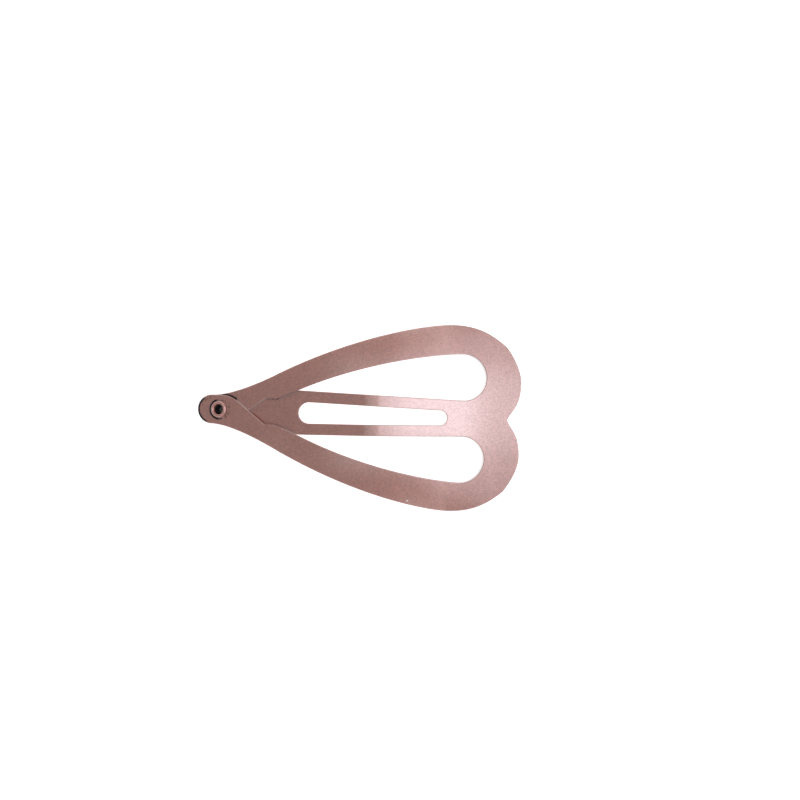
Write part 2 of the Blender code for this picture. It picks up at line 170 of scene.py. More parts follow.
LOBE_X = LENGTH + LOBE_REACH
HEAD_TIP_X = EYELET_AHEAD + FLANGE_RADIUS + HEAD_TIP_GAP
CROWN_CUT = LENGTH * CROWN_CUT_SHARE
BACK_CUT = LENGTH * BACK_CUT_SHARE
FRONT_CUT = LENGTH * FRONT_CUT_SHARE
PLAN_X = cad_box[0].x + TAB_BACK + TAB_RADIUS


# Curves in the plan

def bezier(start, first, second, end, steps=CURVE_STEPS):
    """Points of a cubic curve between two points, both ends included."""
    points = []
    for step in range(steps + 1):
        t = step / steps
        s = 1 - t
        weights = (s ** 3, 3 * s * s * t, 3 * s * t * t, t ** 3)
        controls = (start, first, second, end)
        points.append(tuple(sum(w * c[i] for w, c in zip(weights, controls)) for i in range(2)))
    return points


def arc(centre, radius, start, end, steps=ARC_STEPS):
    """Points of an arc about a centre, angles in degrees."""
    points = []
    for step in range(steps + 1):
        angle = math.radians(start + (end - start) * step / steps)
        points.append((centre[0] + radius * math.cos(angle), centre[1] + radius * math.sin(angle)))
    return points


def joined(*paths):
    """One path from several that meet, without doubled points."""
    points = []
    for path in paths:
        for point in path:
            if not points or math.dist(points[-1], point) > NEAR:
                points.append(point)
    return points


def stretch(path, low, high):
    """The part of a left-to-right path between two stations, its ends cut exactly there."""
    points = []
    for (x0, y0), (x1, y1) in zip(path, path[1:]):
        for station in (low, high):
            if x0 < station < x1:
                points.append((station, y0 + (y1 - y0) * (station - x0) / (x1 - x0)))
        if low < x1 < high:
            points.append((x1, y1))
    if low < path[0][0] < high:
        points.insert(0, path[0])
    return sorted(points)


def mirrored(path):
    """The same path on the other side of the middle line."""
    return [(x, -y) for x, y in path]


def placed(shares):
    """A point from shares of the clip's length and half width."""
    return (shares[0] * LENGTH, shares[1] * HALF_WIDTH)


# Edges of the blank on the +Y side, left to right

def outer_edge():
    """From the tab to the widest point of the lobe."""
    tab = (-TAB_BACK, TAB_RADIUS)
    first, middle, second, last = [placed(shares) for shares in FLANK_SHARES]
    top = (LENGTH * LOBE_TOP_SHARE, HALF_WIDTH)
    near = bezier(tab, (LENGTH * FLANK_START_SHARE, TAB_RADIUS), first, middle)
    return joined(near, bezier(middle, second, last, top))


def lobe_edge():
    """From the lobe's widest point round to the notch."""
    top = (LENGTH * LOBE_TOP_SHARE, HALF_WIDTH)
    first, second, shoulder, third = [placed(shares) for shares in SHOULDER_SHARES]
    above, reach, below = [(LOBE_X, HALF_WIDTH * share) for share in LOBE_END_SHARES]
    flank = placed(NOTCH_FLANK_SHARES)
    return joined(
        bezier(top, first, second, shoulder),
        bezier(shoulder, third, above, reach),
        bezier(reach, below, flank, (LENGTH, 0)),
    )


def inner_edge():
    """From the vee along the window to its round end."""
    wide, high = WINDOW_X - VEE_X, WINDOW_Y - VEE_Y
    first, second = [(VEE_X + wide * sx, VEE_Y + high * sy) for sx, sy in INNER_SHARES]
    return bezier((VEE_X, VEE_Y), first, second, (WINDOW_X, WINDOW_Y))


def window_end(start, end):
    """A stretch of the window's round end, angles in degrees."""
    return arc((WINDOW_X, WINDOW_END_Y), WINDOW_END_RADIUS, start, end)


def head_edge():
    """The tongue's flared head, from its tip on the middle line to the vee."""
    wide = (LENGTH * HEAD_WIDE_SHARE, HEAD_HALF)
    tip = (HEAD_TIP_X, 0)
    vee = (VEE_X, TONGUE_HALF_VEE)
    run, reach = vee[0] - wide[0], wide[0] - tip[0]
    near, far = HEAD_VEE_SHARES
    to_vee = bezier(wide, (wide[0] + run * far, HEAD_HALF), (wide[0] + run * near, vee[1]), vee)
    side, front = HEAD_TIP_SHARES
    to_wide = bezier(tip, (tip[0], HEAD_HALF * front), (wide[0] - reach * side, HEAD_HALF), wide)
    return joined(to_wide, to_vee)


def tab_inner_path():
    """An arm's inner edge from the vee, over the head, round the tab's corner to its far side.

    Drawn for the arm on the -Y side, whose tab corner lies on the +Y side.
    """
    jog = [(LENGTH * share, -JOG_HALF_GAP * depth) for share, depth in JOG_SHARES]
    corner = [(TAB_RADIUS * sx, TAB_RADIUS * sy) for sx, sy in TAB_CORNER_SHARES]
    rounded = bezier(*corner[:4])
    return joined([(VEE_X, -VEE_Y)], jog, rounded, [corner[4], (-TAB_BACK, TAB_RADIUS)])


# Heights of the pressed sheet

def hermite(x, left, right):
    """Height of a smooth curve between two (x, height, slope) stations."""
    run = right[0] - left[0]
    t = (x - left[0]) / run
    rise = left[1] * (1 + 2 * t) * (1 - t) ** 2 + right[1] * t * t * (3 - 2 * t)
    return rise + run * t * (1 - t) * (left[2] * (1 - t) - right[2] * t)


def ease(x, low, high):
    """A smooth step from 0 at low to 1 at high."""
    t = min(max((x - low) / (high - low), 0), 1)
    return t * t * (3 - 2 * t)


ARCH_STATIONS = [(TAB_REACH, TAB_LEVEL + TAB_REACH * TAB_SLOPE, TAB_SLOPE)] + [
    (LENGTH * along, TAB_LEVEL + ARCH_RISE * rise, slope * ARCH_RISE / LENGTH)
    for along, rise, slope in ARCH_SHARES
]


def arch(x):
    """Height of the pressed sheet on the middle line."""
    if x <= TAB_REACH:
        return TAB_LEVEL + x * TAB_SLOPE
    for left, right in zip(ARCH_STATIONS, ARCH_STATIONS[1:]):
        if x <= right[0]:
            return hermite(x, left, right)
    return ARCH_STATIONS[-1][1]


def slope_of(line, x):
    """Slope of a height line at a station."""
    return (line(x + NEAR) - line(x - NEAR)) / (2 * NEAR)


def dish(x, y):
    """How far the sheet falls away from the middle line."""
    grown = ease(x, *[LENGTH * share for share in DISH_START_SHARES])
    eased = ease(x, *[LENGTH * share for share in DISH_END_SHARES])
    return grown * (1 - (1 - DISH_CROWN_SHARE) * eased) * y * y / (2 * DISH_RADIUS)


def stack_offset(x):
    """Half the height between the two overlapped arms."""
    return STACK / 2 * (1 - ease(x, *[LENGTH * share for share in STACK_SHARES]))


def frame_height(x, y):
    """Middle surface of the crown and the arms' backs."""
    return arch(x) - dish(x, y)


def left_tip_height(x, y):
    """Middle surface of the +Y arm's front, which lies under the other."""
    return frame_height(x, y) - stack_offset(x)


def right_tip_height(x, y):
    """Middle surface of the -Y arm's front, which lies on top."""
    return frame_height(x, y) + stack_offset(x)


def head_line(x):
    """The tongue's head, under both arms."""
    return arch(x) - stack_offset(x) - STACK


HEAD_SLOPE = (head_line(VEE_X) - head_line(VEE_X - NEAR)) / NEAR
RISE_SLOPE, FALL_SLOPE = [share * ARCH_RISE / LENGTH for share in CREASE_SLOPE_SHARES]
CREASE_STATION = (CREASE_X, TAB_LEVEL + CREASE_RISE)
VEE_STATION = (VEE_X, head_line(VEE_X), HEAD_SLOPE)
ROOT_STATION = (WINDOW_X, arch(WINDOW_X), slope_of(arch, WINDOW_X))


def folded_line(x):
    """The tongue on the middle line, with a sharp crease."""
    if x <= VEE_X:
        return head_line(x)
    if x <= CREASE_X:
        return hermite(x, VEE_STATION, (*CREASE_STATION, RISE_SLOPE))
    if x <= WINDOW_X:
        return hermite(x, (*CREASE_STATION, FALL_SLOPE), ROOT_STATION)
    return arch(x)


def tongue_line(x):
    """The tongue on the middle line, with the crease's small bend radius."""
    low, high = CREASE_X - CREASE_ROUND, CREASE_X + CREASE_ROUND
    if low < x < high:
        left, right = [(at, folded_line(at), slope_of(folded_line, at)) for at in (low, high)]
        return hermite(x, left, right)
    return folded_line(x)


def tongue_height(x, y):
    """Middle surface of the tongue."""
    return tongue_line(x) - dish(x, y)


# Sheet with rounded edges

def evenly(loop):
    """A closed loop with points at an even pitch, its sharp corners kept."""
    points = [Vector(point) for point in loop]
    count = len(points)
    corners = []
    for i, point in enumerate(points):
        before = point - points[i - 1]
        after = points[(i + 1) % count] - point
        if abs(before.angle_signed(after)) > CORNER_ANGLE:
            corners.append(i)
    corners = corners or [0]
    even = []
    for first, last in zip(corners, corners[1:] + [corners[0] + count]):
        run = [points[i % count] for i in range(first, last + 1)]
        lengths = [(b - a).length for a, b in zip(run, run[1:])]
        whole = sum(lengths)
        steps = max(1, round(whole / EDGE_PITCH))
        index, walked = 0, 0.0
        for step in range(steps):
            target = whole * step / steps
            while index < len(lengths) - 1 and walked + lengths[index] < target:
                walked += lengths[index]
                index += 1
            share = (target - walked) / lengths[index]
            even.append(run[index].lerp(run[index + 1], share))
    return even


def outward_normals(loop, hole):
    """At each point, the way out of the sheet, and how much longer a corner's inset is."""
    area = sum(a.x * b.y - a.y * b.x for a, b in zip(loop, loop[1:] + loop[:1]))
    side = 1 if (area > 0) != hole else -1
    normals = []
    for i, point in enumerate(loop):
        before = (point - loop[i - 1]).normalized()
        after = (loop[(i + 1) % len(loop)] - point).normalized()
        middle = (before + after).normalized()
        out = Vector((middle.y, -middle.x)) * side
        square = Vector((before.y, -before.x)) * side
        normals.append((out, 1 / max(out.dot(square), 1 / CORNER_REACH)))
    return normals


def inside(points, loops):
    """Which points lie inside the outline and outside its holes."""
    x, y = points[:, 0:1], points[:, 1:2]
    crossings = np.zeros(len(points), int)
    for loop in loops:
        a = np.array([tuple(p) for p in loop])
        b = np.roll(a, -1, axis=0)
        spans = (a[:, 1] > y) != (b[:, 1] > y)
        rise = np.where(b[:, 1] == a[:, 1], 1, b[:, 1] - a[:, 1])
        at = a[:, 0] + (y - a[:, 1]) * (b[:, 0] - a[:, 0]) / rise
        crossings += (spans & (x < at)).sum(1)
    return crossings % 2 == 1


def lattice(loops, stations):
    """Staggered points inside the outline, clear of its edge, with extra rows at some stations."""
    every = [p for loop in loops for p in loop]
    low = [min(p[i] for p in every) for i in range(2)]
    high = [max(p[i] for p in every) for i in range(2)]
    rows = []
    row_pitch = PITCH * math.sqrt(3) / 2
    for column in range(math.ceil((high[0] - low[0]) / row_pitch)):
        x = low[0] + row_pitch * column
        shift = PITCH / 2 * (column % 2)
        if all(abs(x - station) > row_pitch / 2 for station in stations):
            rows.append((x, shift))
    rows += [(station, 0) for station in stations]
    points = []
    for x, shift in rows:
        for i in range(math.ceil((high[1] - low[1]) / PITCH) + 1):
            points.append((x, low[1] + shift + PITCH * i))
    tree = KDTree(len(every))
    for i, p in enumerate(every):
        tree.insert((p[0], p[1], 0), i)
    tree.balance()
    kept = inside(np.array(points), loops)
    clear = PITCH * EDGE_CLEAR_SHARE
    return [p for p, ok in zip(points, kept) if ok and tree.find((p[0], p[1], 0))[2] > clear]


def plate(outlines, stations):
    """A flat closed plate with rounded edges, each vertex with its way out of the edge."""
    bm = bmesh.new()
    out_layer = bm.verts.layers.float_vector.new("way_out")
    loops = [evenly(outline) for outline in outlines]
    ways = [outward_normals(loop, i > 0) for i, loop in enumerate(loops)]
    half = SHEET / 2

    def edge_ring(loop, way, angle):
        """The edge's loop at an angle of its rounding, 90 degrees at the top."""
        level = (half - EDGE_ROUND) * (1 if angle > 0 else -1) + EDGE_ROUND * math.sin(angle)
        inset = EDGE_ROUND * (1 - math.cos(angle))
        ring = []
        for point, (out, stretch_by) in zip(loop, way):
            flat = point - out * inset * stretch_by
            vertex = bm.verts.new((flat.x, flat.y, level))
            vertex[out_layer] = (out.x, out.y, 0)
            ring.append(vertex)
        return ring

    inset_loops = []
    top_rings, bottom_rings = [], []
    for loop, way in zip(loops, ways):
        angles = [math.pi / 2 * (1 - step / EDGE_STEPS) for step in range(EDGE_STEPS)]
        angles += [WALL_ANGLE, -WALL_ANGLE]
        angles += [-angle for angle in reversed(angles[:EDGE_STEPS])]
        rings = [edge_ring(loop, way, angle) for angle in angles]
        for upper, lower in zip(rings, rings[1:]):
            for i in range(len(loop)):
                j = (i + 1) % len(loop)
                bm.faces.new((upper[i], upper[j], lower[j], lower[i]))
        top_rings += rings[0]
        bottom_rings += rings[-1]
        inset_loops.append([Vector((v.co.x, v.co.y)) for v in rings[0]])

    border = [p for loop in inset_loops for p in loop]
    edges, start = [], 0
    for loop in inset_loops:
        edges += [(start + i, start + (i + 1) % len(loop)) for i in range(len(loop))]
        start += len(loop)
    inner = [Vector(p) for p in lattice(inset_loops, stations)]
    verts, _, faces, origin, _, _ = delaunay_2d_cdt(border + inner, edges, [], 0, MERGE)
    centres = np.array([tuple(sum((verts[i] for i in face), Vector((0, 0))) / 3) for face in faces])
    kept = [face for face, ok in zip(faces, inside(centres, inset_loops)) if ok]
    for ring, level in ((top_rings, half), (bottom_rings, -half)):
        made = {}

        def vertex_of(index):
            if index not in made:
                source = origin[index][0] if origin[index] else len(border)
                if source < len(border):
                    made[index] = ring[source]
                else:
                    made[index] = bm.verts.new((verts[index].x, verts[index].y, level))
            return made[index]

        for face in kept:
            corners = [vertex_of(i) for i in face]
            bm.faces.new(corners if level > 0 else list(reversed(corners)))
    bmesh.ops.recalc_face_normals(bm, faces=bm.faces)
    return bm, out_layer


def cut_away(bm, station, keep):
    """Cut square through the plate at a station and close the cut; keep is -1 or 1."""
    bmesh.ops.bisect_plane(
        bm, geom=bm.verts[:] + bm.edges[:] + bm.faces[:], dist=MERGE,
        plane_co=(station, 0, 0), plane_no=(-keep, 0, 0), clear_outer=True,
    )
    rim = [edge for edge in bm.edges if edge.is_boundary]
    bmesh.ops.holes_fill(bm, edges=rim, sides=0)


def sheet(name, outlines, height, low=None, high=None, stations=()):
    """One shown stretch of the pressed sheet, cut square at its low and high stations."""
    bm, out_layer = plate(outlines, stations)
    if low is not None:
        cut_away(bm, low, 1)
    if high is not None:
        cut_away(bm, high, -1)
    bmesh.ops.recalc_face_normals(bm, faces=bm.faces)
    bm.normal_update()
    bm.faces.index_update()
    caps = {
        face.index for face in bm.faces
        for station in (low, high)
        if station is not None and all(abs(v.co.x - station) < NEAR for v in face.verts)
    }
    plan = bm.verts.layers.float_vector.new("plan")
    rim = bm.verts.layers.float.new("rim")
    shading = []
    straight = SHEET / 2 - EDGE_ROUND
    for vertex in bm.verts:
        x, y, s = vertex.co
        gx = (height(x + NEAR, y) - height(x - NEAR, y)) / (2 * NEAR)
        gy = (height(x, y + NEAR) - height(x, y - NEAR)) / (2 * NEAR)
        lean = math.sqrt(1 + gx * gx + gy * gy)
        out = vertex[out_layer]
        lift = min(max((abs(s) - straight) / EDGE_ROUND, 0), 1) if out.length > ON_EDGE else 1
        side = math.sqrt(1 - lift * lift)
        up = (lift if s > 0 else -lift) / lean
        shading.append(Vector((out.x * side - gx * up, out.y * side - gy * up, up)).normalized())
        vertex[plan] = (x, y, s)
        vertex[rim] = side
        vertex.co = (x + PLAN_X, y, height(x, y) + s * lean)
    bm.verts.index_update()
    mesh = bpy.data.meshes.new(name)
    bm.to_mesh(mesh)
    bm.free()
    obj = bpy.data.objects.new(name, mesh)
    bpy.context.scene.collection.objects.link(obj)
    mesh.shade_smooth()
    normals = [None] * len(mesh.loops)
    for polygon in mesh.polygons:
        for i in polygon.loop_indices:
            flat_face = polygon.index in caps
            normals[i] = polygon.normal.copy() if flat_face else shading[mesh.loops[i].vertex_index]
    mesh.normals_split_custom_set(normals)
    return obj


# Plans of the shown pieces

def crown_plan():
    """The lobed plate with stubs of the arms and the tongue."""
    start = LENGTH * LOBE_TOP_SHARE
    window = joined(stretch(inner_edge(), start, LOBE_X), window_end(90, -90))
    half = joined([(start, TONGUE_HALF_ROOT)], list(reversed(window)), lobe_edge())
    return [joined(half, list(reversed(mirrored(half)))[1:])]


def arm_plan(low, high):
    """The +Y arm between two stations of its windowed stretch, a little beyond both."""
    low, high = low - OVERRUN, high + OVERRUN
    outside = stretch(joined(outer_edge(), lobe_edge()[:CURVE_STEPS]), low, high)
    inner = stretch(joined(inner_edge(), window_end(90, WINDOW_END_STOP)), low, high)
    return [joined(outside, list(reversed(inner)))]


def arm_front_plan(hole_x):
    """The -Y arm from the tab to its front cut, with the eyelet's hole."""
    high = FRONT_CUT + OVERRUN
    outside = mirrored(stretch(outer_edge(), -LENGTH, high))
    inner = mirrored(stretch(inner_edge(), -LENGTH, high))
    end = arc((-TAB_BACK, 0), TAB_RADIUS, 90, 270)
    outline = joined(outside, list(reversed(inner)), tab_inner_path(), end)
    return [outline[:-1], arc((hole_x, 0), TAB_HOLE, 0, 360)[:-1]]


def tongue_plan():
    """The head, the two strips and the slot between them."""
    high = CROWN_CUT + OVERRUN
    side = joined(head_edge(), [(WINDOW_X, TONGUE_HALF_ROOT)], window_end(-90, -WINDOW_END_STOP))
    side = stretch(side, -LENGTH, high)
    slot = joined(
        arc((VEE_X + SLOT_RADIUS_HEAD, 0), SLOT_RADIUS_HEAD, 90, 270),
        arc((LENGTH * SLOT_END_SHARE - SLOT_RADIUS_ROOT, 0), SLOT_RADIUS_ROOT, -90, 90),
    )
    return [joined(side, list(reversed(mirrored(side)))[:-1]), slot]


def flipped(plans):
    """The same plans on the other side of the middle line."""
    return [mirrored(plan) for plan in plans]


# Eyelet, a hollow rivet whose upper end is rolled over the tabs

ROUND_STEPS = 96
ROLL_STEPS = 20
ROLL_START = math.radians(-110)
ROLL_MIDDLE_SHARE = 0.42    # height of the roll's widest place in the roll's height
LIP = 0.00012               # rounding of the flange and of the bore's lower end
LIP_STEPS = 5
SHARP_ANGLE = math.radians(50)


def rolled(centre, reach, start, end, steps):
    """Points of an ellipse's stretch in the section, reach as (out, up)."""
    points = []
    for step in range(steps + 1):
        angle = start + (end - start) * step / steps
        points.append((centre[0] + reach[0] * math.cos(angle), centre[1] + reach[1] * math.sin(angle)))
    return points


def eyelet_section():
    """Closed section of the rivet: the roll, down the bore, round the flange and up its outside.

    Heights are counted from halfway between the two tabs.
    """
    top = CAD_GRIP + RIM_HEIGHT
    low = GRIP
    end = -GRIP - FLANGE
    middle = (BORE_RADIUS + RIM_RADIUS) / 2
    reach = (RIM_RADIUS - BORE_RADIUS) / 2
    widest = low + (top - low) * ROLL_MIDDLE_SHARE
    under = rolled((middle, widest), (reach, widest - low), ROLL_START, 0, ROLL_STEPS)
    over = rolled((middle, widest), (reach, top - widest), 0, math.pi, ROLL_STEPS)
    quarter = math.pi / 2
    bore_end = rolled((BORE_RADIUS + LIP, end + LIP), (LIP, LIP), 2 * quarter, 3 * quarter, LIP_STEPS)
    lower = rolled((FLANGE_RADIUS - LIP, end + LIP), (LIP, LIP), -quarter, 0, LIP_STEPS)
    upper = rolled((FLANGE_RADIUS - LIP, -GRIP - LIP), (LIP, LIP), 0, quarter, LIP_STEPS)
    barrel = [(BARREL_RADIUS, -GRIP), (BARREL_RADIUS, under[0][1])]
    return joined(under, over, bore_end, lower, upper, barrel)


def eyelet():
    """The rivet, turned about its own axis and leaned square to the tabs."""
    section = eyelet_section()
    bm = bmesh.new()
    rings = []
    for turn in range(ROUND_STEPS):
        angle = 2 * math.pi * turn / ROUND_STEPS
        cos, sin = math.cos(angle), math.sin(angle)
        rings.append([bm.verts.new((r * cos, r * sin, z)) for r, z in section])
    for ring, following in zip(rings, rings[1:] + rings[:1]):
        for i in range(len(section)):
            j = (i + 1) % len(section)
            bm.faces.new((ring[i], following[i], following[j], ring[j]))
    bmesh.ops.recalc_face_normals(bm, faces=bm.faces)
    plan = bm.verts.layers.float_vector.new("plan")
    centre = (PLAN_X + EYELET_AHEAD, 0, TAB_LEVEL + EYELET_AHEAD * TAB_SLOPE)
    lean = Matrix.Translation(centre) @ Matrix.Rotation(-TAB_TILT, 4, "Y")
    for vertex in bm.verts:
        vertex[plan] = vertex.co
        vertex.co = lean @ vertex.co
    mesh = bpy.data.meshes.new("eyelet_rivet")
    bm.to_mesh(mesh)
    bm.free()
    mesh.shade_smooth()
    mesh.set_sharp_from_angle(angle=SHARP_ANGLE)
    obj = bpy.data.objects.new("eyelet_rivet", mesh)
    bpy.context.scene.collection.objects.link(obj)
    return obj


# Materials

class Nodes:
    """Short calls for one material's nodes."""

    def __init__(self, name):
        self.material = bpy.data.materials.new(name)
        self.material.use_nodes = True
        self.tree = self.material.node_tree
        self.tree.nodes.clear()

    def add(self, kind, settings=(), **inputs):
        """A node with its settings as (name, value) pairs and its inputs as values or sockets.

        An input is given by its name, with _ for a space, or by i and its number.
        """
        node = self.tree.nodes.new(kind)
        for name, value in settings:
            setattr(node, name, value)
        for name, value in inputs.items():
            key = int(name[1:]) if name[1:].isdigit() else name.replace("_", " ")
            socket = node.inputs[key]
            if isinstance(value, bpy.types.NodeSocket):
                self.tree.links.new(value, socket)
            else:
                socket.default_value = value
        return node

    def math(self, operation, a, b=0.0):
        """The result of a Math node, which isn't clamped."""
        return self.add("ShaderNodeMath", [("operation", operation)], i0=a, i1=b).outputs[0]

    def vector(self, operation, a, b=(0, 0, 0)):
        """The result of a Vector Math node, a number where the operation gives one."""
        node = self.add("ShaderNodeVectorMath", [("operation", operation)], i0=a, i1=b)
        gives_number = operation in ("LENGTH", "DISTANCE", "DOT_PRODUCT")
        return node.outputs["Value" if gives_number else "Vector"]

    def scaled(self, value, share):
        """A vector made longer or shorter."""
        node = self.add("ShaderNodeVectorMath", [("operation", "SCALE")], i0=value, i3=share)
        return node.outputs["Vector"]

    def span(self, value, low, high, to_low=0.0, to_high=1.0):
        """A value carried from one range to another, held within it."""
        node = self.add(
            "ShaderNodeMapRange", i0=value, i1=low, i2=high, i3=to_low, i4=to_high,
        )
        return node.outputs[0]

    def mix(self, share, a, b):
        """A blend of two colours."""
        node = self.add("ShaderNodeMix", [("data_type", "RGBA")], i0=share, i6=a, i7=b)
        return node.outputs[2]

    def noise(self, at, scale, detail):
        """A noise texture's value."""
        return self.add("ShaderNodeTexNoise", Vector=at, Scale=scale, Detail=detail).outputs[0]

    def open_air(self, distance, samples):
        """How open the space over the surface is within a distance: 1 in the open."""
        node = self.add("ShaderNodeAmbientOcclusion", [("samples", samples)], Distance=distance)
        return node.outputs["AO"]


# Colours
LACQUER = (0.576, 0.184, 0.124, 1)
LACQUER_DEEP = (0.356, 0.112, 0.076, 1)     # the darkest flakes
LACQUER_THIN = (0.29, 0.185, 0.17, 1)       # drawn thin over the sheet's edges
LACQUER_SHADED = (0.40, 0.27, 0.25, 1)      # close to another sheet
LACQUER_GAP_FILL_LIGHT = (0.45, 0.36, 0.34, 1)      # painted fill light deep between sheets, paler and less red than the shade there
# painted highlight along the arms' inner edges over the head
LACQUER_PAINTED_HIGHLIGHT = (0.85, 0.62, 0.57, 1)
PALE_SPOT_COLOUR = (0.95, 0.85, 0.82, 1)
# near-black of the painted shadows on the sheets, and of the rivet's bare bore with its painted shade
PAINTED_SHADOW_AND_BARE_METAL = (0.012, 0.014, 0.018, 1)
PAPER_COLOURS = ((0.80, 0.80, 0.80, 1), (0.84, 0.84, 0.84, 1))
# near-black painted shade on the paper where little light can reach
PAPER_PAINTED_SHADE = (0.02, 0.02, 0.024, 1)
WHITE = (1, 1, 1, 1)

# Finish of the lacquer as (roughness, coat roughness, coat IOR)
SHEET_FINISH = (0.50, 0.28, 3.4)
EYELET_FINISH = (0.40, 0.20, 2.7)
METALLIC = 0.5
GRAIN_ROUGHNESS = 0.05          # how far the grain moves the roughness

# Texture of the lacquer, scales per millimetre, noise as (scale, detail)
MM = 1000
FLAKE_SCALE = 6.2
GRAIN_NOISE = (3.2, 3.0)
MOTTLE_NOISE = (0.35, 2.0)
PEEL_NOISE = (1.4, 2.0)
NOISE_REACH = (0.3, 0.7)        # nearly all of a noise lies between these
FLAKE_SHADE = 0.42              # how far each moves the colour from its middle
GRAIN_SHADE = 0.1
MOTTLE_SHADE = 0.06
FLAKE_LEAN = 0.16
FLAKE_MIDDLE = (0.5, 0.5, 0.5)
FLAKE_COAT = (0.8, 1.0)         # coat weight of the darkest and the brightest flakes
PEEL_STRENGTH = 0.06
PEEL_DEPTH = 0.00006

# How edges change the lacquer, and where painted shade and painted light fall near other sheets, as
# (low value, high value, share at low, share at high)
THIN_ON_RIM = (0.3, 1.0, 0.0, 0.75)
COAT_ON_RIM = (0.2, 0.9, 1.0, 0.35)
EDGE_HIGHLIGHT_ON_RIM = (0.2, 0.7)
SHADED_BY_AIR = (0.5, 0.95, 0.8, 0.0)
GAP_FILL_LIGHT_BY_AIR = (0.2, 0.6, 0.9, 0.0)
SHADED_DISTANCE = 0.0005
GAP_FILL_LIGHT_DISTANCE = 0.0012
AIR_SAMPLES = 8
EDGE_HIGHLIGHT_SHARE = 0.6

# Painted shadows and a painted edge highlight on the sheets, a pale spot, and the rivet's dark bore, in
# millimetres of the plan
RIVET_SHADOW_LINE = (0.12, 1.78, 0.27)     # centre's x, radius and half width of the painted shadow line round the rivet
RIVET_SHADOW_FACING = 188             # its darkest side, degrees
RIVET_SHADOW_TURN = (-0.1, 0.3)       # cosine of the turn from that side where it begins and is full
TAB_END_SHADOW = (-1.43, 2.53, 0.29)  # the same for the painted shadow along the tab's round end
TAB_END_SHADOW_FACING = 187
TAB_END_SHADOW_TURN = (0.35, 0.6)
TAB_SHADOW_DOTS = (-1.43, 2.15, 0.3)   # the same for the painted shadow dots that go on from it
TAB_SHADOW_DOTS_FACING = 125
TAB_SHADOW_DOTS_TURN = (0.75, 0.85)
DOTS_IN_GRAIN = (0.56, 0.60, 0.0, 0.8)
CREVICE_X = (0.6, 3.2)          # painted shadow in the crevice under the tab's corner runs from and to here
CREVICE_Y = (1.6, 1.7)          # it begins and is full here
CREVICE_BY_AIR = (0.78, 0.96, 1.0, 0.0)
SEAM_DOTS_X = (9.3, 11.2)       # painted shade dots along the +Y arm's seam on the head run from and to here
SEAM_DOTS_Y = (0.0, 0.2)        # they begin and are full here
SEAM_BY_AIR = (0.7, 0.9, 1.0, 0.0)
SEAM_DOTS_IN_GRAIN = (0.50, 0.54, 0.2, 0.8)
UPPER_SIDE = (0.0, 0.12)        # heights in the sheet from which the painted shadows show
EDGE_HIGHLIGHT_X = (3.5, 8.7)           # a painted highlight along the edge across the middle runs from and to here
EDGE_HIGHLIGHT_BELOW_X = (12.2, 15.2)   # and along the -Y arm's seam from and to here
EDGE_HIGHLIGHT_WITHIN = (2.75, 0.29)    # half width of the painted highlight's stretch, at least and per x
EDGE_HIGHLIGHT_FADE = 0.2
SOFT_END = 0.4                  # marks fade out over this length
PALE_SPOT = (35.8, -15.6, 0.25)      # a small pale spot on the -Y arm
PALE_SPOT_RADIUS = 0.22
BORE_BARE_AND_SHADE = (0.45, 0.7, 1.0)    # the rivet's bore is bare and painted near-black as shade below the first height, in this radius

# Paper of the floor
PAPER_ROUGHNESS = 0.9
FIBRE_NOISE = (900.0, 3.0)
FLOOR_AIR_DISTANCE = 0.006
FLOOR_AIR_SAMPLES = 24
GLOW_BY_AIR = (0.31, 0.44, 0.0, 0.8)
PAPER_PAINTED_SHADE_BY_AIR = (0.29, 0.41, 1.0, 0.0)


def plan_arc(n, at, line, facing, turn):
    """Whether a point lies on a drawn arc's line, and how far on the side that it faces."""
    centre, radius, half = line
    flat = n.vector("MULTIPLY", n.vector("SUBTRACT", at, (centre, 0, 0)), (1, 1, 0))
    off = n.math("ABSOLUTE", n.math("SUBTRACT", n.vector("LENGTH", flat), radius))
    side = (math.cos(math.radians(facing)), math.sin(math.radians(facing)), 0)
    turned = n.vector("DOT_PRODUCT", n.vector("NORMALIZE", flat), side)
    return n.span(off, half / 2, half, 1.0, 0.0), n.span(turned, *turn)


def within(n, value, low, high):
    """A share of 1 between two bounds that falls off softly outside them."""
    rise = n.span(value, low - SOFT_END, low)
    fall = n.span(value, high, high + SOFT_END, 1.0, 0.0)
    return n.math("MULTIPLY", rise, fall)


def sheet_painted_shadows(n, at, open_air, grain):
    """Painted shadows: dark lines round the rivet, along the tab's end and in its corner's crevice, and
    dark dots along a seam.
    """
    place = n.add("ShaderNodeSeparateXYZ", Vector=at)
    x, y = place.outputs["X"], place.outputs["Y"]
    dots = n.span(grain, *DOTS_IN_GRAIN)
    ring, left = plan_arc(n, at, RIVET_SHADOW_LINE, RIVET_SHADOW_FACING, RIVET_SHADOW_TURN)
    marks = n.math("MULTIPLY", ring, n.math("MAXIMUM", left, dots))
    band, end = plan_arc(n, at, TAB_END_SHADOW, TAB_END_SHADOW_FACING, TAB_END_SHADOW_TURN)
    marks = n.math("MAXIMUM", marks, n.math("MULTIPLY", band, end))
    band, end = plan_arc(n, at, TAB_SHADOW_DOTS, TAB_SHADOW_DOTS_FACING, TAB_SHADOW_DOTS_TURN)
    band = n.math("MULTIPLY", band, dots)
    marks = n.math("MAXIMUM", marks, n.math("MULTIPLY", band, end))
    corner = n.math("MULTIPLY", within(n, x, *CREVICE_X), n.span(y, *CREVICE_Y))
    corner = n.math("MULTIPLY", corner, n.span(open_air, *CREVICE_BY_AIR))
    seam = n.math("MULTIPLY", within(n, x, *SEAM_DOTS_X), n.span(y, *SEAM_DOTS_Y))
    seam = n.math("MULTIPLY", seam, n.span(open_air, *SEAM_BY_AIR))
    seam = n.math("MULTIPLY", seam, n.span(grain, *SEAM_DOTS_IN_GRAIN))
    marks = n.math("MAXIMUM", marks, n.math("MAXIMUM", corner, seam))
    return n.math("MULTIPLY", marks, n.span(place.outputs["Z"], *UPPER_SIDE))


